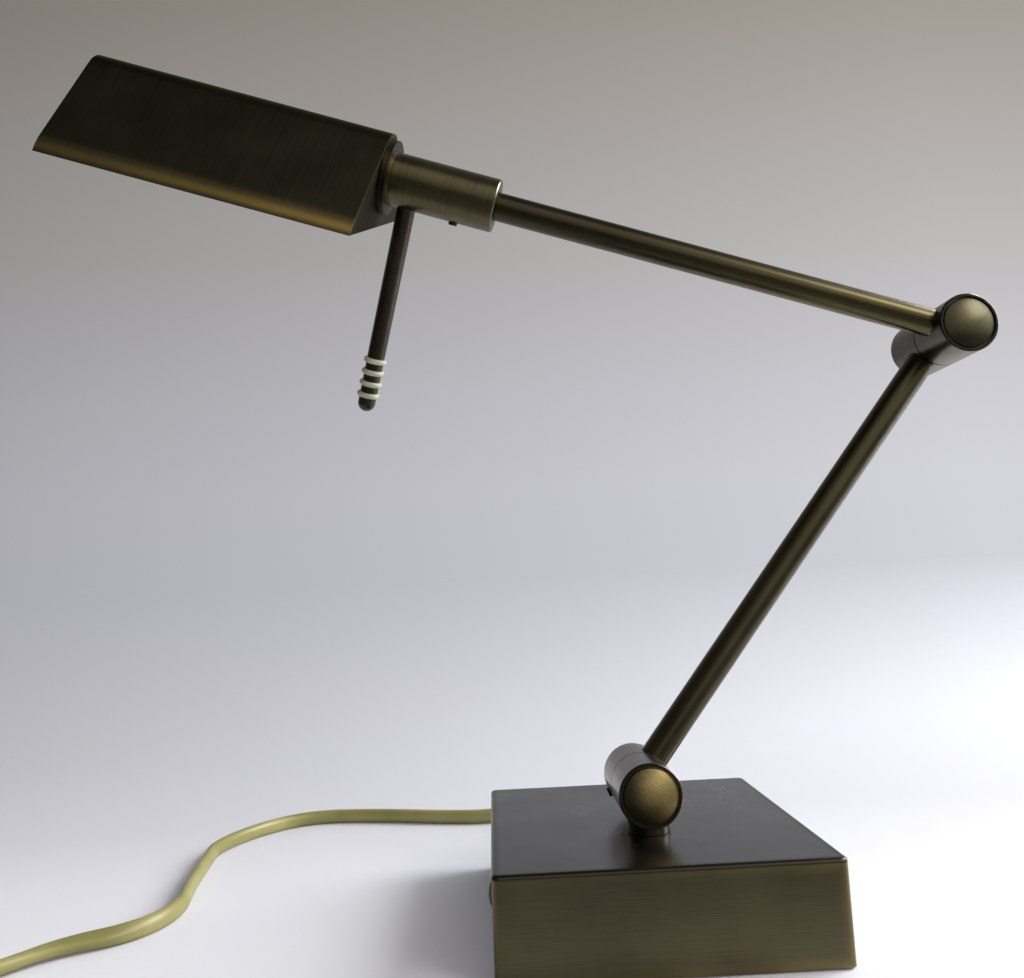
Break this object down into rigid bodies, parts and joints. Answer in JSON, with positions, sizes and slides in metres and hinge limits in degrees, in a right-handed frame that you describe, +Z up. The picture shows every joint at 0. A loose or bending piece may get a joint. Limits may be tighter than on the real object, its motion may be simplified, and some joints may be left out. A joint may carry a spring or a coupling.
{
  "type": "piano lamp",
  "caption": "Small table lamp for a piano: square weighted base, jointed arms on barrel elbows, and a roof-shaped metal shade that turns by a handle rod; push switch and mains cord.",
  "frame": {"origin": "on the table, under the middle of the square base", "axes": "+Z up; +X towards the side that the lower arm leans to; -Y towards the front, where the elbows' nearer caps and the open front of the base face"},
  "size_m": [0.4467, 0.2169, 0.2949],
  "materials": {
    "base_bronze": "brushed antique bronze plating, worn to brass at the edges",
    "steel": "zinc plated",
    "felt": "dark felt",
    "ballast_iron": "rough cast",
    "black_plastic": "satin moulded",
    "bezel_bronze": "dark plated",
    "cord_sheath": "glossy translucent flexible vinyl, rubber standing in",
    "lead_sheath": "flexible vinyl, rubber standing in",
    "washer_bronze": "dark plated",
    "arm_bronze": "brushed antique bronze plating, brushed lengthwise",
    "barrel_bronze": "brushed antique bronze plating, brushed around",
    "cap_bronze": "brushed antique brass plating",
    "plain_brass": "plain turned",
    "black_screw": "black oxide",
    "sleeve_bronze": "brushed antique bronze plating, brushed around",
    "shade_bronze": "brushed antique bronze plating, brushed across",
    "reflector_metal": "bright rolled",
    "holder_ceramic": "glazed, plastic standing in for porcelain",
    "lamp_glass": "clear",
    "handle_bronze": "dark bronze plating",
    "ring_rubber": "translucent cream silicone",
    "plug_plastic": "moulded",
    "pin_metal": "nickel plated"
  },
  "bodies": {
    "base": {"base_shell": "base_bronze", "bottom_plate": "steel", "plate_screws": "steel", "base_felt": "felt", "ballast_block": "ballast_iron", "switch_body": "black_plastic", "switch_bezel": "bezel_bronze", "cord_gland": "black_plastic", "inner_cord": "cord_sheath", "cord_clamp": "black_plastic", "clamp_screws": "steel", "terminal_block": "black_plastic", "supply_leads": "lead_sheath", "foot_washer": "washer_bronze", "mains_cord": "cord_sheath", "cord_coil": "cord_sheath", "plug_body": "plug_plastic", "plug_pins": "pin_metal"},
    "button": {"switch_button": "black_plastic"},
    "post": {"post_stem": "arm_bronze", "post_washer": "steel", "post_nut": "steel", "lower_front_knuckle": "barrel_bronze", "lower_front_cap": "cap_bronze", "lower_pivot": "plain_brass", "lower_pivot_nuts": "steel", "lower_spring_washer": "steel", "lower_seam_washer": "washer_bronze"},
    "lower_arm": {"lower_rear_knuckle": "barrel_bronze", "lower_rear_cap": "cap_bronze", "lower_lock_screw": "black_screw", "lower_arm_nipples": "plain_brass", "lower_arm_tube": "arm_bronze", "lower_arm_lead": "lead_sheath", "upper_rear_knuckle": "barrel_bronze", "upper_rear_cap": "cap_bronze", "upper_pivot": "plain_brass", "upper_pivot_nuts": "steel", "upper_spring_washer": "steel", "upper_seam_washer": "washer_bronze"},
    "upper_arm": {"upper_front_knuckle": "barrel_bronze", "upper_front_cap": "cap_bronze", "upper_arm_nipple": "plain_brass", "upper_arm_tube": "arm_bronze", "upper_arm_lead": "lead_sheath", "arm_end_bush": "plain_brass"},
    "shade": {"sleeve": "sleeve_bronze", "keeper_screw": "black_screw", "sleeve_core": "plain_brass", "flange_disc": "sleeve_bronze", "head_nut": "steel", "right_end_plate": "shade_bronze", "left_end_plate": "shade_bronze", "shade_shell": "shade_bronze", "reflector": "reflector_metal", "lamp_holder": "holder_ceramic", "lamp_capsule": "lamp_glass", "handle_rod": "handle_bronze", "grip_rings": "ring_rubber"}
  },
  "joints": [
    {"name": "base_swivel", "type": "hinge", "parent": "base", "child": "post", "pos_m": [0, -0.0165, 0.0294], "axis": [0, 0, 1], "range_deg": [-90, 90]},
    {"name": "lower_elbow", "type": "hinge", "parent": "post", "child": "lower_arm", "pos_m": [0, -0.00775, 0.0422], "axis": [0, 1, 0], "range_deg": [-30, 50]},
    {"name": "upper_elbow", "type": "hinge", "parent": "lower_arm", "child": "upper_arm", "pos_m": [0.11621, -0.00775, 0.18935], "axis": [0, 1, 0], "range_deg": [-20, 110]},
    {"name": "shade_roll", "type": "hinge", "parent": "upper_arm", "child": "shade", "pos_m": [0.11621, -0.0165, 0.18935], "axis": [-0.9532, 0, 0.3024], "range_deg": [-60, 120]},
    {"name": "switch_press", "type": "slide", "parent": "base", "child": "button", "axis": [1, 0, 0], "range_m": [0, 0.0006], "stiffness_N_per_m": 1500}
  ]
}
